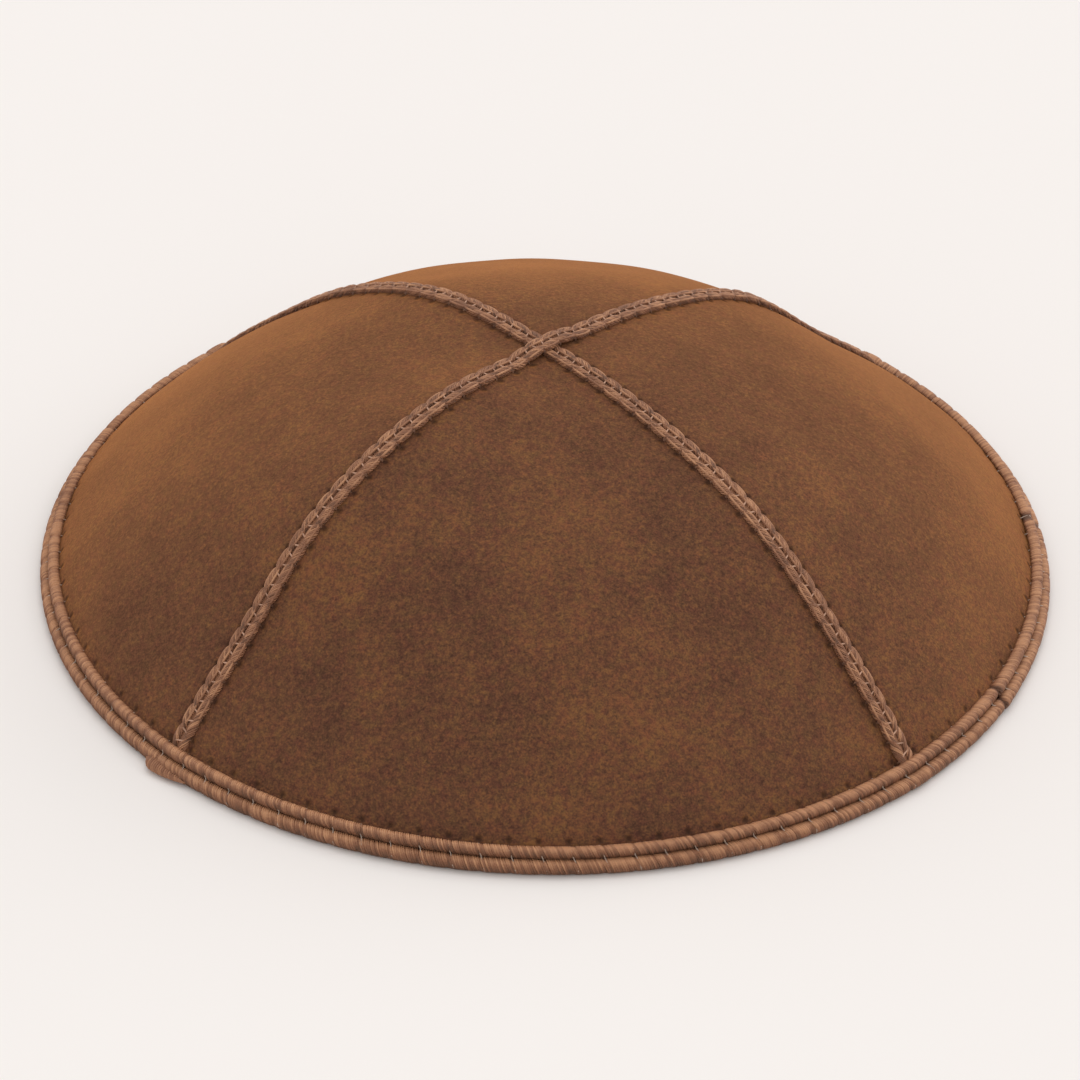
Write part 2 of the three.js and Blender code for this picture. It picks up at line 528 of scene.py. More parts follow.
@dataclass(frozen=True)
class Layer:
    """One layer of a finish's unevenness: noise with spots of one size.

    Attributes:
        size_mm: About how wide its spots are.
        weight: How much it adds to the tone, or 0 to leave it out.
        detail: How many times finer spots are added to them.
        roughness: How strong the finer spots are.
    """

    size_mm: float
    weight: float = 0.0
    detail: float = 2.0
    roughness: float = 0.5


def weighted(
    tree: Tree, terms: list[tuple[Socket, float]], base: float | Socket = 0.0
) -> float | Socket:
    """Adds up values, each times its weight.

    Args:
        tree: The material's node tree.
        terms: The values with their weights. A weight of 0 leaves its value out.
        base: Where the sum starts.

    Returns:
        The sum.
    """
    total = base
    for value, weight in terms:
        if weight:
            inputs = {0: value, 1: weight, 2: total}
            node = add_node(tree, "ShaderNodeMath", {"operation": "MULTIPLY_ADD"}, inputs)
            total = node.outputs[0]
    return total


def layered(
    tree: Tree, layers: tuple[Layer, ...], base: float | Socket = 0.0
) -> tuple[float | Socket, list[Socket]]:
    """Adds up layers of noise, which lie on the piece's own coordinates.

    Args:
        tree: The material's node tree.
        layers: The layers.
        base: Where the sum starts.

    Returns:
        The sum, and each layer's own noise.
    """
    place = add_node(tree, "ShaderNodeTexCoord").outputs["Object"]
    noises = []
    for layer in layers:
        inputs = {"Vector": place, "Scale": 1 / (layer.size_mm * MM)}
        inputs |= {"Detail": layer.detail, "Roughness": layer.roughness}
        noises.append(add_node(tree, "ShaderNodeTexNoise", inputs=inputs).outputs[0])
    terms = [(noise, layer.weight) for noise, layer in zip(noises, layers)]
    return weighted(tree, terms, base), noises


@dataclass(frozen=True)
class SuedeFinish:
    """Split cowhide suede, dyed brown and brushed: matt, soft, with a velvet glow along its edges.

    The raised fibres lie one way in one patch and another way in the next, which gives darker and
    lighter patches a few centimetres wide, and their tips make a fine grain.

    Attributes:
        dark: Colour where the fibres point at the eye.
        middle: The dye's own colour.
        light: Colour where the fibres lie over.
        glow: Tint of the fibres seen edge on.
        hole_shade: Painted shade inside a needle hole, a dark colour for the shadow there.
        patch: Patches where the fibres lie one way.
        cloud: Smaller clouds in them, from handling.
        grain: Tufts of fibre tips.
        fibre: Single fibres, drawn some ten times as coarse as the real ones so that they show.
        hue: Specks that took the dye a little redder or yellower.
        hue_turn: Hue in the lowest and highest of those specks, where 0.5 is the dye's own.
        pit_mm: Radius at which a needle hole's painted shade and its dip have faded out.
        hole_shade_strength: Share of the painted hole shade at a hole's middle.
        nap_mm: Height of the fibres.
    """

    dark: str = "#472e25"
    middle: str = "#634130"
    light: str = "#815536"
    glow: str = "#f29c4e"
    hole_shade: str = "#2a1c16"
    patch: Layer = Layer(24.0, 0.6)
    cloud: Layer = Layer(7.0, 0.45, 3.0, 0.6)
    grain: Layer = Layer(0.75, 1.0, 2.0, 0.6)
    fibre: Layer = Layer(0.32, 1.1, 2.0, 0.6)
    hue: Layer = Layer(1.6, 0.0, 2.0, 0.6)
    hue_turn: tuple[float, float] = (0.491, 0.51)
    pit_mm: float = 0.85
    hole_shade_strength: float = 0.75
    nap_mm: float = 0.25

    def pits(self, tree: Tree, attribute: str, pitch: float, row: float) -> Socket:
        """Needle holes in a row: round spots at every multiple of the pitch.

        Args:
            tree: The material's node tree.
            attribute: Attribute whose x runs along the row and whose y runs away from it.
            pitch: Distance between holes.
            row: The row's y.

        Returns:
            1 in a hole and 0 outside.
        """
        source = add_node(tree, "ShaderNodeAttribute", {"attribute_name": attribute})
        split = add_node(tree, "ShaderNodeSeparateXYZ", inputs={0: source.outputs["Vector"]})
        folded = {0: split.outputs["X"], 1: pitch / 2}
        along = add_node(tree, "ShaderNodeMath", {"operation": "PINGPONG"}, folded)
        moved = {0: split.outputs["Y"], 1: row}
        away = add_node(tree, "ShaderNodeMath", {"operation": "SUBTRACT"}, moved)
        sides = {0: along.outputs[0], 1: away.outputs[0]}
        offset = {0: add_node(tree, "ShaderNodeCombineXYZ", inputs=sides).outputs[0]}
        distance = add_node(tree, "ShaderNodeVectorMath", {"operation": "LENGTH"}, offset)
        span = {1: 0.1 * self.pit_mm, 2: self.pit_mm, 3: 1.0, 4: 0.0}
        spot = add_node(
            tree,
            "ShaderNodeMapRange",
            {"interpolation_type": "SMOOTHSTEP"},
            {0: distance.outputs["Value"]} | span,
        )
        return spot.outputs[0]

    def material(self) -> bpy.types.Material:
        """Builds the material: layers of noise through the dye's colours, with painted shade in the
        holes.

        Returns:
            The material.
        """
        made, tree, shader = new_material("brushed suede")
        layers = (self.patch, self.cloud, self.grain, self.fibre, self.hue)
        base = 0.5 - sum(layer.weight for layer in layers) / 2
        tone, (_, _, grain, fibre, hue) = layered(tree, layers, base)
        stops = {0.15: self.dark, 0.5: self.middle, 0.85: self.light}
        ramp = add_node(tree, "ShaderNodeValToRGB", inputs={0: tone}, stops=stops)
        seam_pits = self.pits(tree, "seam_place", SEAM_UNDER.pitch, SEAM_UNDER.hole_across)
        rim_pits = self.pits(tree, "rim_place", RIM.pitch, RIM.hole_up)
        both = {0: seam_pits, 1: rim_pits}
        pits = add_node(tree, "ShaderNodeMath", {"operation": "MAXIMUM"}, both).outputs[0]
        span = {1: NOISE_LOW, 2: NOISE_HIGH, 3: self.hue_turn[0], 4: self.hue_turn[1]}
        turned = add_node(tree, "ShaderNodeMapRange", inputs={0: hue} | span)
        dye = {"Hue": turned.outputs[0], "Color": ramp.outputs["Color"]}
        dyed = add_node(tree, "ShaderNodeHueSaturation", inputs=dye)
        # Painted shade: the suede is mixed towards a dark colour in the needle holes.
        share = weighted(tree, [(pits, self.hole_shade_strength)])
        colours = {0: share, 6: dyed.outputs["Color"], 7: linear(self.hole_shade)}
        colour = add_node(tree, "ShaderNodeMix", {"data_type": "RGBA"}, colours)
        height = weighted(tree, [(fibre, 0.5), (grain, 0.6), (pits, -1.5)])
        nap = {"Strength": 0.55, "Distance": self.nap_mm * MM, "Height": height}
        surface = {
            "Base Color": colour.outputs[2],
            "Normal": add_node(tree, "ShaderNodeBump", inputs=nap).outputs[0],
            "Roughness": 0.95,
            "Specular IOR Level": 0.15,
            "Sheen Weight": 0.57,
            "Sheen Roughness": 0.5,
            "Sheen Tint": linear(self.glow),
        }
        connect(tree, shader, surface)
        return made


@dataclass(frozen=True)
class ThreadFinish:
    """Spun rayon thread, dyed a lighter brown: each strand is a little lighter or darker.

    Attributes:
        name: What the thread is.
        dark: Colour of the darkest strands.
        middle: The dye's own colour.
        light: Colour of the lightest strands.
        glow: Tint of the loose fibres seen edge on.
        roughness: Rayon is smooth, but a spun strand scatters its gloss.
        sheen: Strength of that tint.
        ply: The twist that shows in each strand, drawn twice as coarse as the real 0.15 mm.
        patch: Lengths of braid that took more dye or less.
        ply_height_mm: How far a ply stands out of its strand.
    """

    name: str
    dark: str
    middle: str
    light: str
    glow: str = "#d9a078"
    roughness: float = 0.6
    sheen: float = 0.25
    ply: Layer = Layer(0.3, 0.5)
    patch: Layer = Layer(9.0, 0.6)
    ply_height_mm: float = 0.05

    def material(self) -> bpy.types.Material:
        """Builds the material: each strand's tone with its painted shade and highlight, its plies
        and the dye's patches, added up.

        Returns:
            The material.
        """
        made, tree, shader = new_material(self.name)
        # The tone attribute holds each strand's own random tone together with its painted shade and
        # highlight.
        strand = add_node(tree, "ShaderNodeAttribute", {"attribute_name": "tone"}).outputs["Fac"]
        tone, (ply, _) = layered(tree, (self.ply, self.patch), strand)
        span = {1: 0.45, 2: 1.65, 3: 0.0, 4: 1.0}
        shade = add_node(tree, "ShaderNodeMapRange", inputs={0: tone} | span).outputs[0]
        stops = {0.0: self.dark, 0.5: self.middle, 1.0: self.light}
        ramp = add_node(tree, "ShaderNodeValToRGB", inputs={0: shade}, stops=stops)
        plies = {"Strength": 0.4, "Distance": self.ply_height_mm * MM, "Height": ply}
        surface = {
            "Base Color": ramp.outputs["Color"],
            "Normal": add_node(tree, "ShaderNodeBump", inputs=plies).outputs[0],
            "Roughness": self.roughness,
            "Specular IOR Level": 0.35,
            "Sheen Weight": self.sheen,
            "Sheen Roughness": 0.4,
            "Sheen Tint": linear(self.glow),
        }
        connect(tree, shader, surface)
        return made


@dataclass(frozen=True)
class NylonFinish:
    """Clear nylon monofilament: smooth and glossy, with the braid showing through.

    Attributes:
        shade: Colour in its drawing marks.
        tint: Its own colour, a slightly grey beige.
        roughness: Drawn nylon is smooth.
        ior: Nylon's own.
        clearness: Share of the light that goes through.
        marks: Fine marks that the drawing left.
        mark_depth_mm: How deep they are.
    """

    shade: str = "#b79c88"
    tint: str = "#dcc5b2"
    roughness: float = 0.28
    ior: float = 1.53
    clearness: float = 0.2
    marks: Layer = Layer(0.8)
    mark_depth_mm: float = 0.02

    def material(self) -> bpy.types.Material:
        """Builds the material, with fine drawing marks as bump.

        Returns:
            The material.
        """
        made, tree, shader = new_material("nylon monofilament")
        _, (marks,) = layered(tree, (self.marks,))
        stops = {0.0: self.shade, 1.0: self.tint}
        ramp = add_node(tree, "ShaderNodeValToRGB", inputs={0: marks}, stops=stops)
        drawn = {"Strength": 0.2, "Distance": self.mark_depth_mm * MM, "Height": marks}
        surface = {
            "Base Color": ramp.outputs["Color"],
            "Normal": add_node(tree, "ShaderNodeBump", inputs=drawn).outputs[0],
            "Roughness": self.roughness,
            "IOR": self.ior,
            "Transmission Weight": self.clearness,
        }
        connect(tree, shader, surface)
        return made


# ---------------------------------------------------------------- the suede panels


class Quarter(Enum):
    """The four quarters of the cap, by the azimuth that their middles face."""

    FRONT = 0.0
    RIGHT = 90.0
    BACK = 180.0
    LEFT = 270.0


@dataclass(frozen=True)
class SuedePanel:
    """One of the four panels: a closed three-sided wall of suede, pulled in where it is stitched.

    Attributes:
        quarter: Which panel.
        thickness: Thickness of the suede.
        trim: How far short of the round dome's edge the suede is cut.
        point_trim: How far from the crown its point is cut off.
        half_gap: Half the gap between two panels, under the seam's braid.
        rows: Points from crown to rim.
        columns: Points from seam to seam.
        crowding: How much the columns crowd towards the seams, from 0 to 1.
        seam_dip: Depth of the dip at one of a seam's needle holes.
        rim_dip: Depth of the dip at one of the rim's needle holes.
        waves: How many slow waves make the leather uneven.
        wave_lengths: The shortest and the longest wave.
        wave_share: Height of a wave as a share of its length.
    """

    quarter: Quarter
    thickness: float = 1.2
    trim: float = 0.9
    point_trim: float = 0.6
    half_gap: float = 0.03
    rows: int = 116
    columns: int = 136
    crowding: float = 0.45
    seam_dip: float = 0.14
    rim_dip: float = 0.12
    waves: int = 14
    wave_lengths: tuple[float, float] = (13, 42)
    wave_share: float = 0.0016

    def softness(self, points: Array) -> Array:
        """Slow unevenness of worked leather: a sum of level waves with seeded ways and lengths.

        Args:
            points: Places on the dome.

        Returns:
            Height of the waves there.
        """
        draw = np.random.default_rng(11)
        total = np.zeros(points.shape[:-1])
        for _ in range(self.waves):
            way = draw.normal(size=3)
            way /= np.linalg.norm(way)
            length = draw.uniform(*self.wave_lengths)
            phase = draw.uniform(0, 2 * np.pi)
            total += self.wave_share * length * np.sin(2 * np.pi * (points @ way) / length + phase)
        return total

    def seam_place(self, azimuth: Array, down: Array) -> Array:
        """Distance along the nearer seam from a needle hole, and distance from the seam line.

        Args:
            azimuth: Degrees round from the front.
            down: 0 at the crown and 1 at the cut edge.

        Returns:
            Rows of three: along, away and 0.
        """
        turn = azimuth - self.quarter.value
        middle = math.radians(self.quarter.value)
        outwards = np.array([math.sin(middle), -math.cos(middle), 0.0])
        phases = []
        for side in (-1, 1):
            at = self.quarter.value + side * DOME.panel_angle / 2
            seam = SEAM_UNDER if (at - SEAM_UNDER.azimuth) % 180 == 0 else SEAM_OVER
            phases.append(seam.hole_phase(seam.across_way @ outwards))
        phase = np.where(turn > 0, phases[1], phases[0])
        level = DOME.radius * np.sin(np.minimum(down, 1) * DOME.angle)
        away = level * np.sin(np.radians(DOME.panel_angle / 2 - np.abs(turn)))
        return stacked(down * DOME.arc - phase, away, 0.0)

    def rim_place(self, azimuth: Array, down: Array) -> Array:
        """Distance round the rim and up from the cut edge, as rows of three."""
        return stacked(RIM.distance(azimuth), (1 - down) * DOME.arc, 0.0)

    def relief(self, azimuth: Array, down: Array) -> Array:
        """How far the outer face stands off the smooth dome: soft waves, and dips at the stitches.

        Each row of dips is a cosine along it, deepest at the needle holes, times a bell across it.

        Args:
            azimuth: Degrees round from the front.
            down: 0 at the crown and 1 at the cut edge.

        Returns:
            The distance.
        """
        seam = self.seam_place(azimuth, down)
        rim = self.rim_place(azimuth, down)
        hole = 0.55 + 0.45 * np.cos(2 * np.pi * seam[..., 0] / SEAM_UNDER.pitch)
        dips = self.seam_dip * hole * bell(seam[..., 1] - SEAM_UNDER.hole_across, 0.8)
        hole = 0.5 + 0.5 * np.cos(2 * np.pi * rim[..., 0] / RIM.pitch)
        dips += self.rim_dip * hole * bell(rim[..., 1] - RIM.hole_up, 1.1)
        return self.softness(DOME.point(azimuth, down)) - dips

    def build(self, material: bpy.types.Material) -> bpy.types.Object:
        """Makes the panel: an outer grid, an inner grid and the four cut edges between them.

        Columns crowd towards the seams as (1 - cos) does, so that the dips there keep their shape.

        Args:
            material: The suede.

        Returns:
            The piece.
        """
        c = np.linspace(0, 1, self.columns)[None, :]
        share = (1 - self.crowding) * c + self.crowding * (1 - np.cos(np.pi * c)) / 2
        down = np.linspace(self.point_trim, DOME.arc - self.trim, self.rows)[:, None] / DOME.arc
        level = DOME.radius * np.sin(down * DOME.angle)
        half = DOME.panel_angle / 2 - np.degrees(np.arcsin(self.half_gap / level))
        azimuth = self.quarter.value + half * (2 * share - 1)
        azimuth, down = np.broadcast_arrays(azimuth, down)
        outer = DOME.point(azimuth, down, self.relief(azimuth, down))
        inner = DOME.point(azimuth, down, -self.thickness + 0.5 * self.softness(outer))
        face = grid_quads(self.rows, self.columns)
        numbers = np.arange(azimuth.size).reshape(azimuth.shape)
        # Once round the panel: down its first seam, along the rim, up its other seam, and back.
        sides = [numbers[:, 0], numbers[-1, 1:], numbers[-2::-1, -1], numbers[0, -2:0:-1]]
        border = np.concatenate(sides)
        after = np.roll(border, -1)
        edge = np.stack([border, border + azimuth.size, after + azimuth.size, after], -1)
        faces = [face, face[:, ::-1] + azimuth.size, edge]
        places = {
            "seam_place": np.stack([self.seam_place(azimuth, down)] * 2),
            "rim_place": np.stack([self.rim_place(azimuth, down)] * 2),
        }
        name = self.quarter.name.lower()
        piece = make_piece("suede_" + name, np.stack([outer, inner]), faces, material, places)
        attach(piece, "root")
        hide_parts("panel_" + name)
        return piece


# ---------------------------------------------------------------- the seam braids


@dataclass(frozen=True)
class SeamBraid:
    """A flat braid of two cords, each covered in slanting strands, with a zigzag of thread over it.

    The strands of the two cords slope opposite ways and meet in the groove, like the barbs of a
    feather. Each needle hole pulls in the cord beside it, which leaves a row of lobes.

    Attributes:
        seam: The seam that it covers.
        cord_across: Distance of a cord's middle from the seam line.
        cord_half: Half a cord's width.
        cord_base: Height of a cord's foot over the suede.
        cord_height: Height of a cord over its foot.
        strand_pitch: Distance between strands along the seam.
        strand_radius: Radius of a strand.
        strand_run: How far a strand slants along the seam from its middle to an end.
        strand_sweep: Angles over the cord between which a strand lies.
        strand_steps: Points along a strand.
        strand_sides: Points round a strand.
        pull_in: Share of a cord's half width that a stitch takes.
        pull_down: Share of a cord's height that a stitch takes.
        pull_width: Distance along the seam over which a stitch pulls.
        bulge: Share of its half width by which a cord swells between stitches.
        loop_half: Half the width of the ring round a lobe.
        loop_radius: Radius of that ring's strand.
        thread_radius: Radius of the stitching thread.
        thread_sides: Points round the thread.
        core_share: Size of the cords under the strands as a share of the whole.
        core_rows: Points along those cords.
        core_tone: Tone of those cords.
        end_up: Distance of the braid's end up from the cut edge.
        end_fade: Distance over which it thins out to that end.
    """

    seam: Seam
    cord_across: float = 0.89
    cord_half: float = 0.68
    cord_base: float = 0.05
    cord_height: float = 0.8
    strand_pitch: float = 0.5
    strand_radius: float = 0.16
    strand_run: float = 1.5
    strand_sweep: tuple[float, float] = (-1.3, 1.5)
    strand_steps: int = 9
    strand_sides: int = 5
    pull_in: float = 0.4
    pull_down: float = 0.4
    pull_width: float = 0.7
    bulge: float = 0.2
    loop_half: float = 0.48
    loop_radius: float = 0.21
    thread_radius: float = 0.15
    thread_sides: int = 6
    core_share: float = 0.84
    core_rows: int = 560
    core_tone: float = 0.55
    end_up: float = 2.2
    end_fade: float = 2.6

    @property
    def reach(self) -> float:
        """Distance from the crown to the braid's end, under the rim's binding."""
        return DOME.arc - self.end_up

    def pull(self, along: Array, side: float) -> Array:
        """How strongly the stitch beside a place pulls the cord in: 1 at a hole, 0 between."""
        nearest = to_nearest(along, self.seam.pitch, self.seam.hole_phase(side))
        return bell(nearest, self.pull_width)

    def flatten(self, along: Array) -> Array:
        """Share of its height that the braid keeps: it thins out in an S curve under the binding."""
        left = np.clip((self.reach - np.abs(along)) / self.end_fade, 0, 1)
        return 0.45 + 0.55 * left * left * (3 - 2 * left)

    def cord_section(
        self, along: Array, angle: Array, side: float, scale: float = 1.0
    ) -> tuple[Array, Array]:
        """Place across and out on a cord's surface.

        Half an ellipse over the cord: across = middle + half * sin(angle), out = base + height *
        cos(angle), where the outer half is pulled in at each hole and swells between holes.

        Args:
            along: Distance along the seam.
            angle: 0 on top of the cord, growing outwards from the seam line.
            side: 1 for the left cord, -1 for the right one.
            scale: Size of the section as a share of the full one.

        Returns:
            Distance across and distance out.
        """
        pull = self.pull(along, side)
        outer = np.clip(np.sin(angle), 0, 1)
        half = self.cord_half * (1 + outer * (self.bulge * (1 - pull) - self.pull_in * pull))
        across = side * (self.cord_across + scale * half * np.sin(angle))
        height = self.cord_height * (1 - self.pull_down * pull * (0.35 + 0.65 * outer))
        out = self.cord_base + scale * height * np.cos(angle) * self.flatten(along)
        return across, out

    def strands(self, side: float) -> tuple[Array, list[Array], Array]:
        """Strands over one cord: short tubes that run slantwise from its outer edge to the groove.

        Args:
            side: 1 for the left cord, -1 for the right one.

        Returns:
            Points in the seam's coordinates, faces, and each point's tone.
        """
        count = int(2 * self.reach / self.strand_pitch)
        draw = np.random.default_rng(21 + int(side))
        jitter = draw.uniform(-0.1, 0.1, count)[:, None]
        middle = np.linspace(-self.reach + 1, self.reach - 1, count)[:, None] + jitter
        first, last = self.strand_sweep
        angle = np.linspace(first, last, self.strand_steps)[None, :]
        along = middle + self.strand_run * angle / ((last - first) / 2)
        across, out = self.cord_section(along, angle, side)
        share = np.linspace(-1, 1, self.strand_steps)[None, :]
        radius = self.strand_radius * (1 - 0.5 * np.abs(share) ** 4)
        points, faces = tubes(stacked(along, across, out), radius, self.strand_sides)
        # Painted shade: each strand is darker towards its ends, in the groove and at the cord's
        # edge, and where a stitch pulls.
        lit = 0.6 - 0.4 * np.abs(share) ** 3 - 0.25 * self.pull(along, side)
        tone = draw.uniform(-0.4, 0.4, count)[:, None] + lit
        return points, faces, np.repeat(tone, self.strand_sides)

    def loops(self, side: float) -> tuple[Array, list[Array], Array]:
        """The strand that makes the lobes: one long ring round each, lying on the cord's round top.

        Over an angle t, along = middle + half the ring's length * cos(t) and across = the cord's
        middle + half the ring's width * sin(t), drawn out square by the power 0.7.

        Args:
            side: 1 for the left cord, -1 for the right one.

        Returns:
            Points in the seam's coordinates, faces, and each point's tone.
        """
        pitch = self.seam.pitch
        last = int((self.reach - pitch) / pitch)
        middle = (np.arange(-last, last)[:, None] + 0.5) * pitch + self.seam.hole_phase(side)
        t = np.linspace(-0.15, 2 * np.pi + 0.15, 25)[None, :]
        draw = np.random.default_rng(61 + int(side))
        swell = draw.uniform(0.88, 1.1, len(middle))[:, None]
        wide, long = (np.sign(wave) * np.abs(wave) ** 0.7 for wave in (np.sin(t), np.cos(t)))
        off_middle = 0.04 + self.loop_half * swell * wide
        across = self.cord_across + off_middle
        along = middle + (pitch / 2 - 0.05) * long - 0.3 * off_middle
        turned = np.clip(off_middle / self.cord_half, -1, 1)
        height = self.cord_height * (1 - 0.8 * self.pull_down * self.pull(along, side))
        out = self.cord_base + 0.06 + height * np.sqrt(1 - 0.72 * turned**2) * self.flatten(along)
        radius = self.loop_radius * (0.72 + 0.28 * np.abs(wide))
        # The rings lie flat and so turn through every level way: their sections start from upright.
        points, faces = tubes(stacked(along, side * across, out), radius, self.strand_sides, axis=2)
        # Painted shade: each ring is darker at its two ends, where the stitches pinch; the rest of
        # its tone is random.
        lit = draw.uniform(0.5, 0.95, len(middle))[:, None] - 0.35 * np.abs(long) ** 3
        tone = lit + 0.15 * np.sin(3 * t + 40 * swell)
        return points, faces, np.repeat(tone, self.strand_sides)

    def core(self) -> tuple[Array, list[Array]]:
        """The two cords under the strands: one closed section carried along the seam.

        Returns:
            Points in the seam's coordinates and faces.
        """
        along = np.linspace(-self.reach, self.reach, self.core_rows)[:, None]
        angle = np.linspace(-1.0, 1.57, 9)[None, :]
        right = self.cord_section(along, angle[:, ::-1], -1.0, self.core_share)
        left = self.cord_section(along, angle, 1.0, self.core_share)
        across, out = (np.concatenate(pair, 1) for pair in zip(right, left))
        top = stacked(along, across, out)
        bottom = stacked(along, across, -0.1)
        ring = np.concatenate([bottom, top[:, ::-1]], 1)
        rows, columns = ring.shape[:2]
        walls = grid_quads(rows, columns, wrap_columns=True)[:, ::-1]
        i = np.arange(columns // 2 - 1)
        cap = np.stack([i, i + 1, columns - 2 - i, columns - 1 - i], -1)
        return ring, [walls, cap[:, ::-1], cap + (rows - 1) * columns]

    def build_cords(self, material: bpy.types.Material) -> bpy.types.Object:
        """Makes the covered cords, which stand for the frame's braid.

        Args:
            material: The strands' thread.

        Returns:
            The piece.
        """
        core, core_faces = self.core()
        layers = [layer(side) for layer in (self.strands, self.loops) for side in (1.0, -1.0)]
        points, faces = joined([(core, core_faces)] + [(p, f) for p, f, _ in layers])
        core_tones = np.full(core[..., 0].size, self.core_tone)
        tones = {"tone": np.concatenate([core_tones] + [t for _, _, t in layers])}
        placed = self.seam.place(points)
        piece = make_piece(self.seam.name + "_cords", placed, faces, material, tones)
        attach(piece, "root")
        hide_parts(self.seam.name)
        return piece

    def build_stitching(self, material: bpy.types.Material) -> bpy.types.Object:
        """Makes the zigzag of thread from hole to hole across the braid.

        Each stitch leaves a hole, climbs the cord that it pulls in, dips into the groove and goes
        over the other cord into the next hole: out = an arch over each cord, 0 at the holes.

        Args:
            material: The stitching thread.

        Returns:
            The piece.
        """
        half_pitch = self.seam.pitch / 2
        last = int((self.reach - 1.0) / half_pitch)
        number = np.arange(-last, last)
        start = (number * half_pitch)[:, None]
        side = np.where(number % 2 == 0, 1.0, -1.0)[:, None]
        u = np.linspace(0, 1, 17)[None, :]
        reach = self.cord_across + 0.8 * self.cord_half
        across = side * reach * (1 - 2 * u)
        along = start + half_pitch * (u + 0.09 * np.sin(2 * np.pi * u))
        spread = np.abs(across) / reach
        arch = np.sqrt(np.clip(1 - spread**4, 0, 1))
        groove = 0.12 * bell(across, 0.4)
        top = (self.cord_base + self.cord_height * (1 - 0.3 * self.pull_down)) * self.flatten(along)
        out = top * arch - groove - 0.35 * (1 - arch)
        points, faces = tubes(stacked(along, across, out), self.thread_radius, self.thread_sides)
        draw = np.random.default_rng(31)
        # Painted shade: each stitch is darker towards its ends, where it goes down into the holes.
        lit = draw.uniform(0.4, 0.9, len(number))[:, None] + 0.3 - 0.9 * spread**2
        tones = {"tone": np.repeat(lit, self.thread_sides)}
        placed = self.seam.place(points)
        piece = make_piece(self.seam.name + "_stitching", placed, faces, material, tones)
        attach(piece, "root")
        return piece


# ---------------------------------------------------------------- the rim's binding


@dataclass(frozen=True)
class Rib:
    """One thread-covered rib of the binding, as points of its section from top to bottom.

    Attributes:
        ups: Distances up the slope.
        outs: Distances out of the suede.
        pitch: Distance between strands along the rim.
        lean: How far a strand leans along the rim for each millimetre down.
        steps: Points along a strand.
        seed: Where its random tones start.
    """

    ups: tuple[float, ...]
    outs: tuple[float, ...]
    pitch: float
    lean: float
    steps: int
    seed: int


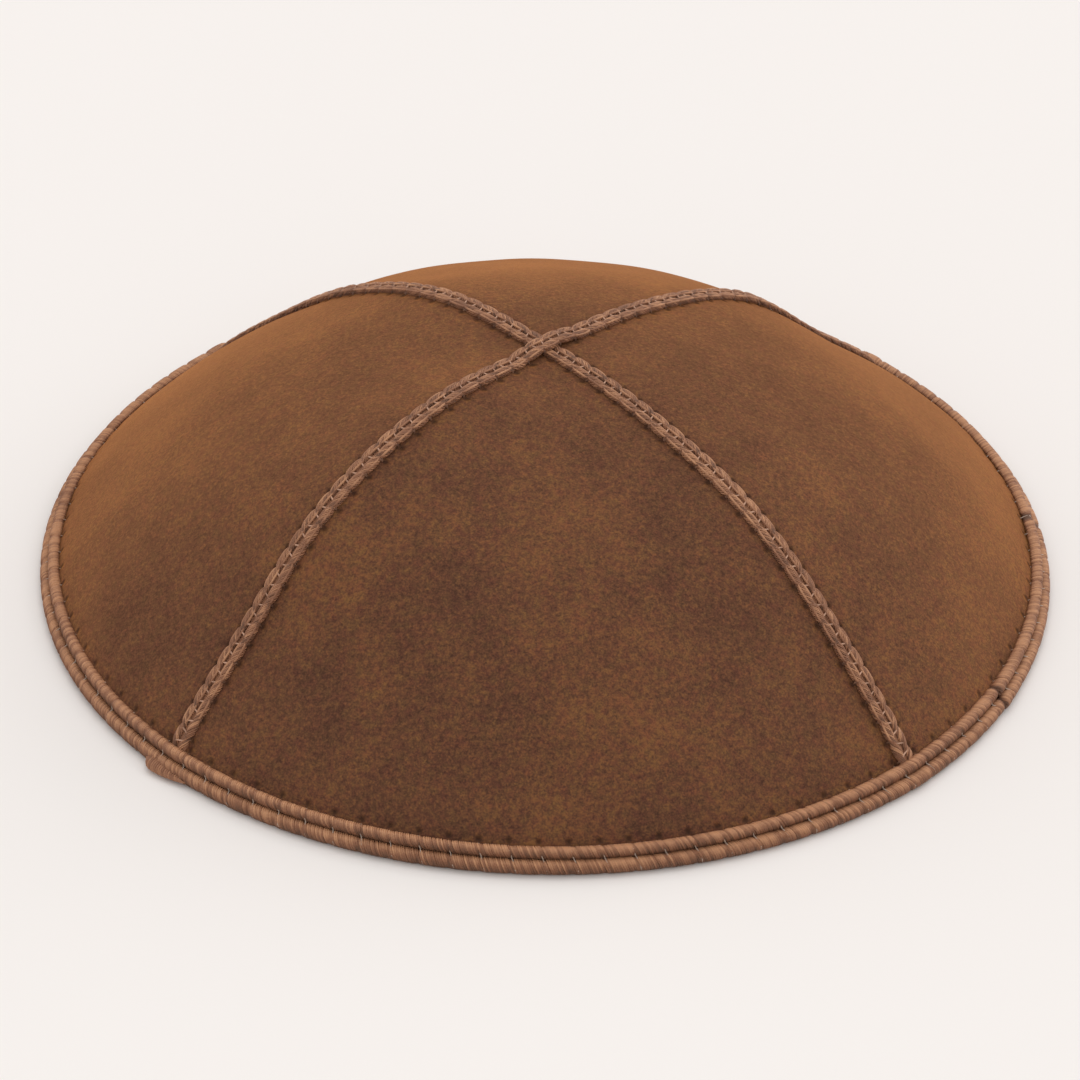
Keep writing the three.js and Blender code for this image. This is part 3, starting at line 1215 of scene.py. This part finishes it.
@dataclass(frozen=True)
class Binding:
    """The folded braid round the rim: a core, two covered ribs outside and one inside.

    The strands cross the groove between the outside ribs. Each stitch pinches the ribs, and where
    the binding's two ends meet, one end lies over the other.

    Attributes:
        strand_radius: Radius of a strand.
        strand_sides: Points round a strand.
        pinch: Depth of the pinch at a stitch.
        pinch_width: Distance along the rim over which a stitch pinches.
        stitch_phase: Distance from a needle hole to where its stitch pinches.
        seam_hump: How far the binding is raised over a seam's end.
        overlap: How far one of its ends is raised over the other.
        filament_radius: Radius of the clear sewing thread.
        filament_sides: Points round that thread.
        knot_azimuth: Where the sewing thread is knotted.
        front_trim: Share of the upper rib's width that is lost at the front.
        core_rows: Points round the core.
        upper: The outside rib above the groove.
        lower: The outside rib below the groove, which goes round under the edge.
        inner: The rib inside the cap.
        core_section: Places up and out round the core's section.
    """

    strand_radius: float = 0.22
    strand_sides: int = 5
    pinch: float = 0.24
    pinch_width: float = 0.42
    stitch_phase: float = 0.55
    seam_hump: float = 0.25
    overlap: float = 0.4
    filament_radius: float = 0.1
    filament_sides: int = 6
    knot_azimuth: float = 96.5
    front_trim: float = 0.16
    core_rows: int = 480
    upper: Rib = Rib(
        ups=(3.32, 3.2, 2.95, 2.5, 2.0, 1.62, 1.28, 1.0),
        outs=(0.0, 0.5, 1.0, 1.32, 1.25, 0.95, 0.5, 0.2),
        pitch=0.36,
        lean=0.5,
        steps=10,
        seed=41,
    )
    lower: Rib = Rib(
        ups=(0.98, 0.75, 0.48, 0.1, -0.35, -0.78, -1.1, -1.3, -1.4),
        outs=(0.2, 0.55, 0.92, 1.17, 1.14, 0.9, 0.5, 0.05, -0.4),
        pitch=0.36,
        lean=0.5,
        steps=10,
        seed=42,
    )
    inner: Rib = Rib(
        ups=(3.35, 3.3, 2.8, 2.0, 1.2, 0.6, 0.45),
        outs=(-1.4, -2.0, -2.5, -2.68, -2.66, -2.5, -2.3),
        pitch=0.5,
        lean=0.3,
        steps=7,
        seed=44,
    )
    core_section: tuple[tuple[float, float], ...] = (
        (3.1, 0.0), (3.0, 0.45), (2.8, 0.85), (2.45, 1.1), (2.0, 1.0), (1.6, 0.6),
        (1.25, 0.15), (0.85, 0.15), (0.55, 0.55), (0.2, 0.88), (-0.3, 0.9), (-0.7, 0.7),
        (-1.0, 0.35), (-1.25, -0.2), (-1.4, -0.8), (0.1, -2.3), (0.9, -2.5), (2.0, -2.5),
        (2.9, -2.3), (3.2, -1.8), (3.1, -1.2), (0.6, -1.2), (0.6, 0.0),
    )

    def width(self, up: Array, around: Array) -> Array:
        """Draws the upper rib in towards the groove, most at the front and not at the back."""
        front = 0.5 + 0.5 * np.cos(2 * np.pi * around / RIM.length)
        return np.where(up > 1, 1 + (up - 1) * (1 - self.front_trim * front), up)

    def from_marks(self, around: Array) -> tuple[Array, Array]:
        """Distances round the rim from the knot, and from where the binding's two ends meet."""
        return around - RIM.distance(self.knot_azimuth), around - RIM.distance(RIM.join_azimuth)

    def stitch_pull(self, around: Array) -> Array:
        """How strongly the stitches pinch the ribs: 1 at a stitch, 0 between, more at the knot.

        Args:
            around: Distance round the rim.

        Returns:
            The strength.
        """
        past_knot, past_join = self.from_marks(around)
        stitches = bell(to_nearest(around, RIM.pitch, self.stitch_phase), self.pinch_width)
        return stitches + 1.5 * bell(past_knot, 0.6) + 1.2 * bell(past_join, 0.5)

    def gap(self, around: Array) -> Array:
        """How dark the painted shade is in the gaps at the knot and where one end lies over the
        other.
        """
        past_knot, past_join = self.from_marks(around)
        return 1.6 * bell(past_knot, 0.8) + 1.2 * bell(past_join, 0.4)

    def rise(self, around: Array) -> Array:
        """How far the binding is raised where it covers a seam's end, and over its own end.

        Args:
            around: Distance round the rim.

        Returns:
            The height: a bell over each seam, and a step with a slow bell's fall past the join.
        """
        quarter = RIM.length / 4
        over_seam = self.seam_hump * bell(to_nearest(around, quarter, quarter / 2), 2.4)
        _, past_join = self.from_marks(around)
        step = self.overlap * np.clip(past_join / 0.4, 0, 1)
        return over_seam + step * bell(np.maximum(past_join, 0), 4.5)

    def strands(self, rib: Rib) -> tuple[Array, list[Array], Array]:
        """Strands over a rib: each a short tube along the rib's section.

        Args:
            rib: The rib.

        Returns:
            Points in the rim's coordinates, faces, and each point's tone.
        """
        count = int(RIM.length / rib.pitch)
        draw = np.random.default_rng(rib.seed)
        start = (np.arange(count) + draw.uniform(-0.15, 0.15, count)) * RIM.length / count
        ups, outs = np.array(rib.ups), np.array(rib.outs)
        fine = np.linspace(0, len(ups) - 1, rib.steps)
        up = np.interp(fine, np.arange(len(ups)), ups)[None, :]
        out = np.interp(fine, np.arange(len(ups)), outs)[None, :]
        along = start[:, None] + rib.lean * (ups.mean() - up)
        pull = self.stitch_pull(along)
        up = self.width(ups.mean() + (up - ups.mean()) * (1.02 - 0.12 * pull), along)
        fullest = (np.abs(out) / np.abs(outs).max()) ** 2
        out = out - np.sign(out) * self.pinch * (pull - 0.12) * fullest
        out = out + np.where(out > 0, self.rise(along), 0.0)
        share = np.linspace(-1, 1, rib.steps)[None, :]
        radius = self.strand_radius * (1 - 0.4 * np.abs(share) ** 6)
        points, faces = tubes(stacked(along, up, out), radius, self.strand_sides)
        # Painted highlight on the upper side of each rib, painted shade on its lower side, at the
        # pinches and in the gaps at the knot and the join.
        lit = 0.95 * bell(share + 0.5, 0.65) + 0.02 - 0.22 * np.minimum(pull, 1) - self.gap(along)
        tone = draw.uniform(-0.3, 0.3, count)[:, None] + lit
        return points, faces, np.repeat(tone, self.strand_sides)

    def core(self) -> tuple[Array, list[Array]]:
        """The braid under the strands: its folded section carried round the rim.

        Returns:
            Points in the rim's coordinates and faces.
        """
        up, out = np.array(self.core_section).T[:, None, :]
        around = np.arange(self.core_rows)[:, None] * RIM.length / self.core_rows
        shift = self.rise(around) - 0.9 * self.pinch * self.stitch_pull(around)
        ring = stacked(around, self.width(up, around), out + np.where(out > 0.4, shift, 0.0))
        return ring, [grid_quads(ring.shape[0], ring.shape[1], True, True)[:, ::-1]]

    def piece(
        self, name: str, parts: list[tuple[Array, list[Array], Array]], material: bpy.types.Material
    ) -> bpy.types.Object:
        """Joins parts into one piece that rides with the cap.

        Args:
            name: The piece's name.
            parts: Points in the rim's coordinates, faces and tones.
            material: The strands' thread.

        Returns:
            The piece.
        """
        points, faces = joined([(p, f) for p, f, _ in parts])
        tone = np.concatenate([t for _, _, t in parts])
        made = make_piece(name, RIM.place(points), faces, material, {"tone": tone})
        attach(made, "root")
        return made

    def build(self, material: bpy.types.Material) -> list[bpy.types.Object]:
        """Makes the core with its upper rib, which stand for the frame's rim braid, and the others.

        Args:
            material: The strands' thread.

        Returns:
            The pieces.
        """
        core, core_faces = self.core()
        # The core is painted dark: painted shade in the gaps between the strands.
        dark = np.full(core[..., 0].size, CORE_GAP_SHADE)
        upper = [(core, core_faces, dark), self.strands(self.upper)]
        first = self.piece("rim_binding_upper", upper, material)
        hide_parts(RIM.name)
        second = self.piece("rim_binding_lower", [self.strands(self.lower)], material)
        third = self.piece("rim_binding_inside", [self.strands(self.inner)], material)
        return [first, second, third]

    def build_filament(self, material: bpy.types.Material) -> bpy.types.Object:
        """Makes the clear thread that sews the binding on.

        Each stitch comes out of a needle hole above the binding, goes down over both ribs on a
        slant, through the groove between them, and under the fold.

        Args:
            material: The nylon.

        Returns:
            The piece.
        """
        start = np.arange(RIM.stitches)[:, None] * RIM.pitch
        lean = np.array([0.0, 0.05, 0.15, 0.32, 0.5, 0.7, 0.92, 1.12, 1.3, 1.4])[None, :]
        up = np.array([3.45, 3.3, 2.95, 2.4, 1.65, 1.02, 0.5, -0.1, -0.8, -1.25])[None, :]
        out = np.array([-0.5, 0.1, 0.85, 1.2, 0.9, 0.55, 0.92, 1.15, 0.98, 0.42])[None, :]
        along = start + lean
        local = stacked(along, self.width(up, along), out + self.rise(along))
        points, faces = tubes(local, self.filament_radius, self.filament_sides)
        piece = make_piece("rim_filament", RIM.place(points), faces, material)
        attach(piece, "root")
        return piece


@dataclass(frozen=True)
class TuckedEnd:
    """The binding's end: a small fold of wrapped braid that shows outside the rim.

    Its own coordinates are the distance along the rim from its middle, the distance out of the
    binding's side and the height above the table.

    Attributes:
        azimuth: Where its middle is.
        length: Its length along the rim.
        thickness: How far it stands out where it is fullest.
        height: Its height there.
        pitch: Distance between wraps.
        wrap_radius: Radius of a wrap's strand.
        wrap_sides: Points round that strand.
        core_sides: Points round the cord inside.
        seat_up: Place up the slope of the binding's side that it lies against.
        seat_out: Place out of the suede of that side.
    """

    azimuth: float = -44.8
    length: float = 8.0
    thickness: float = 1.45
    height: float = 2.0
    pitch: float = 0.36
    wrap_radius: float = 0.21
    wrap_sides: int = 6
    core_sides: int = 12
    seat_up: float = -0.8
    seat_out: float = 1.15

    def fullness(self, along: Array) -> Array:
        """Share of full size: a quick sine rise over the first fifth, then a slow fall to 0.1.

        Args:
            along: 0 at its start and 1 at its end.

        Returns:
            The share.
        """
        rise = np.sin(np.pi / 2 * np.clip(along / 0.2, 0, 1))
        fall = 1 - np.clip((along - 0.2) / 0.8, 0, 1) ** 1.6
        return 0.1 + 0.9 * rise * fall

    def place(self, local: Array) -> Array:
        """Turns points from its own coordinates to the cap's.

        Args:
            local: Points along, out and up.

        Returns:
            The points' x, y and z.
        """
        along, out, up = np.moveaxis(local, -1, 0)
        azimuth = self.azimuth + np.degrees(along / DOME.edge_radius)
        side = RIM.place(stacked(RIM.distance(azimuth), self.seat_up, self.seat_out))
        radius = np.hypot(side[..., 0], side[..., 1]) + out
        turn = np.radians(azimuth)
        return np.stack([radius * np.sin(turn), -radius * np.cos(turn), up], -1)

    def build(self, material: bpy.types.Material) -> bpy.types.Object:
        """Makes the fold: wraps side by side, each half an ellipse out of the rim's side.

        Args:
            material: The wraps' thread.

        Returns:
            The piece.
        """
        count = int(self.length / self.pitch)
        share = np.linspace(0, 1, count)[:, None]
        angle = np.linspace(-1.9, 1.9, 11)[None, :]
        full = self.fullness(share)
        along = (share - 0.5) * self.length - 0.4 * np.sin(angle)
        out = -0.1 + (self.thickness * full + 0.1) * np.cos(angle) * 0.9
        up = self.height * (0.5 + 0.42 * full * np.sin(angle))
        wraps, faces = tubes(stacked(along, out, up), self.wrap_radius, self.wrap_sides)
        core_share = np.linspace(-0.5, 0.5, 24)
        core_full = self.fullness(core_share + 0.5)
        core_out = 0.35 * self.thickness * core_full - 0.1
        # tubes() can't run along x, so the core is made along y and its x and y change places.
        core_path = stacked(core_out, core_share * self.length, self.height / 2)
        core_radius = 0.62 * core_full * self.height / 2
        core, core_faces = tubes(core_path[None], core_radius[None], self.core_sides)
        core = core[..., [1, 0, 2]]
        # Along, out and up are a left-handed set, which turns the wraps inside out. The core has
        # been turned once already.
        faces = [f[:, ::-1] for f in faces]
        points, faces = joined([(core, core_faces), (wraps, faces)])
        draw = np.random.default_rng(51)
        tone = np.repeat(draw.uniform(0.3, 0.7, count), wraps[0, ..., 0].size)
        # The core is painted dark: painted shade in the gaps between the wraps.
        tones = {"tone": np.concatenate([np.full(core[..., 0].size, CORE_GAP_SHADE), tone])}
        piece = make_piece("tucked_end", self.place(points), faces, material, tones)
        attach(piece, "root")
        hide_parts("braid_tail")
        return piece


# ---------------------------------------------------------------- camera, light and table


@dataclass(frozen=True)
class Lamp:
    """A broad, soft and distant light.

    Attributes:
        name: Which light.
        azimuth: Its way from the cap, in degrees round from the back, growing to the right.
        elevation: Its height above the table, in degrees.
        strength: Light that falls on a white surface square to it, where 1 makes it white.
        spread: How wide it looks from the cap, in degrees.
    """

    name: str
    azimuth: float
    elevation: float
    strength: float
    spread: float = 50.0

    def build(self) -> None:
        """Adds the light to the scene."""
        data = bpy.data.lights.new(self.name, "SUN")
        data.angle = math.radians(self.spread)
        data.energy = math.pi * self.strength
        lamp = bpy.data.objects.new(self.name, data)
        turn, rise = math.radians(self.azimuth), math.radians(self.elevation)
        way = (math.sin(turn) * math.cos(rise), math.cos(turn) * math.cos(rise), math.sin(rise))
        lamp.rotation_euler = (-Vector(way)).to_track_quat("-Z", "Y").to_euler()
        bpy.context.scene.collection.objects.link(lamp)


@dataclass(frozen=True)
class Studio:
    """A pale table under large soft lights, and the camera above the front of the cap.

    Attributes:
        elevation: Height of the camera over the table, in degrees.
        distance: Distance of the camera from its aim.
        roll: How far the camera is turned about its own axis, in degrees.
        lens: Its focal length.
        sensor: Width of its sensor.
        aim: The place it looks at.
        lamps: The lights.
        room_light: Strength of the even light from all round.
        paper: Colours of the table's paper at its darkest and lightest.
        mottle: Unevenness of that paper.
        table_side: Half the table's side.
    """

    elevation: float = 35.39
    distance: float = 777.0
    roll: float = 0.888
    lens: float = 153.5
    sensor: float = 36.0
    aim: tuple[float, float, float] = (-0.54, 0.0, 4.38)
    lamps: tuple[Lamp, ...] = (
        Lamp("right light", 60.0, 24.0, 0.22),
        Lamp("left light", -60.0, 22.0, 0.08),
        Lamp("top light", 10.0, 62.0, 0.2),
    )
    room_light: float = 0.74
    paper: tuple[str, str] = ("#f3ede9", "#f5f0ec")
    mottle: Layer = Layer(1000 / 3)
    table_side: float = 3000.0

    def camera(self) -> None:
        """Puts the camera at its distance from the aim, looking down at the elevation."""
        tilt = math.radians(self.elevation)
        back = Vector((0.0, -math.cos(tilt), math.sin(tilt)))
        level = Vector((1.0, 0.0, 0.0))
        above = back.cross(level)
        turn = math.radians(self.roll)
        right = math.cos(turn) * level + math.sin(turn) * above
        up = math.cos(turn) * above - math.sin(turn) * level
        data = bpy.data.cameras.new("camera")
        data.lens = self.lens
        data.sensor_width = self.sensor
        data.clip_start = 0.01
        camera = bpy.data.objects.new("camera", data)
        axes = Matrix((right, up, back)).transposed().to_4x4()
        place = (Vector(self.aim) + back * self.distance) * MM
        camera.matrix_world = Matrix.Translation(place) @ axes
        bpy.context.scene.collection.objects.link(camera)
        bpy.context.scene.camera = camera

    def room(self) -> None:
        """Gives the room its even white light, with colours shown as they are."""
        scene = bpy.context.scene
        scene.view_settings.view_transform = "Standard"
        scene.world = bpy.data.worlds.new("room")
        scene.world.use_nodes = True
        sky = scene.world.node_tree.nodes["Background"]
        sky.inputs["Color"].default_value = linear("#ffffff")
        sky.inputs["Strength"].default_value = self.room_light

    def table(self) -> None:
        """Makes the table: one square of matt paper, faintly uneven in tone."""
        made, tree, shader = new_material("matt paper")
        _, (mottle,) = layered(tree, (self.mottle,))
        stops = dict(zip((0.0, 1.0), self.paper))
        ramp = add_node(tree, "ShaderNodeValToRGB", inputs={0: mottle}, stops=stops)
        surface = {
            "Base Color": ramp.outputs["Color"],
            "Roughness": 0.9,
            "Specular IOR Level": 0.1,
        }
        connect(tree, shader, surface)
        corners = np.array([[-1, -1, 0], [1, -1, 0], [1, 1, 0], [-1, 1, 0]]) * self.table_side
        table = make_piece("table", corners, [np.array([[0, 1, 2, 3]])], made)

    def build(self) -> None:
        """Makes the camera, the lights, the room's even light and the table."""
        self.camera()
        for lamp in self.lamps:
            lamp.build()
        self.room()
        self.table()


def report(piece: bpy.types.Object) -> None:
    """Logs a piece's name, size and number of faces."""
    size = [round(s / MM, 1) for s in piece.dimensions]
    LOG.info("%s: %s mm, %d faces", piece.name, size, len(piece.data.polygons))


def main() -> None:
    """Builds the studio and every piece of the cap in order."""
    logging.basicConfig(level=logging.INFO, format="%(message)s")
    Studio().build()
    suede = SuedeFinish().material()
    wrap = ThreadFinish("spun rayon braid", "#654533", "#94654a", "#c5916b").material()
    sewing = ThreadFinish("sewing thread", "#5a3f33", "#97705a", "#c49a80", roughness=0.55)
    sewing = sewing.material()
    nylon = NylonFinish().material()
    for quarter in Quarter:
        report(SuedePanel(quarter).build(suede))
    for seam in SEAMS:
        braid = SeamBraid(seam)
        report(braid.build_cords(wrap))
        report(braid.build_stitching(sewing))
    binding = Binding()
    for piece in binding.build(wrap):
        report(piece)
    report(binding.build_filament(nylon))
    report(TuckedEnd().build(wrap))


if __name__ == "__main__":
    main()
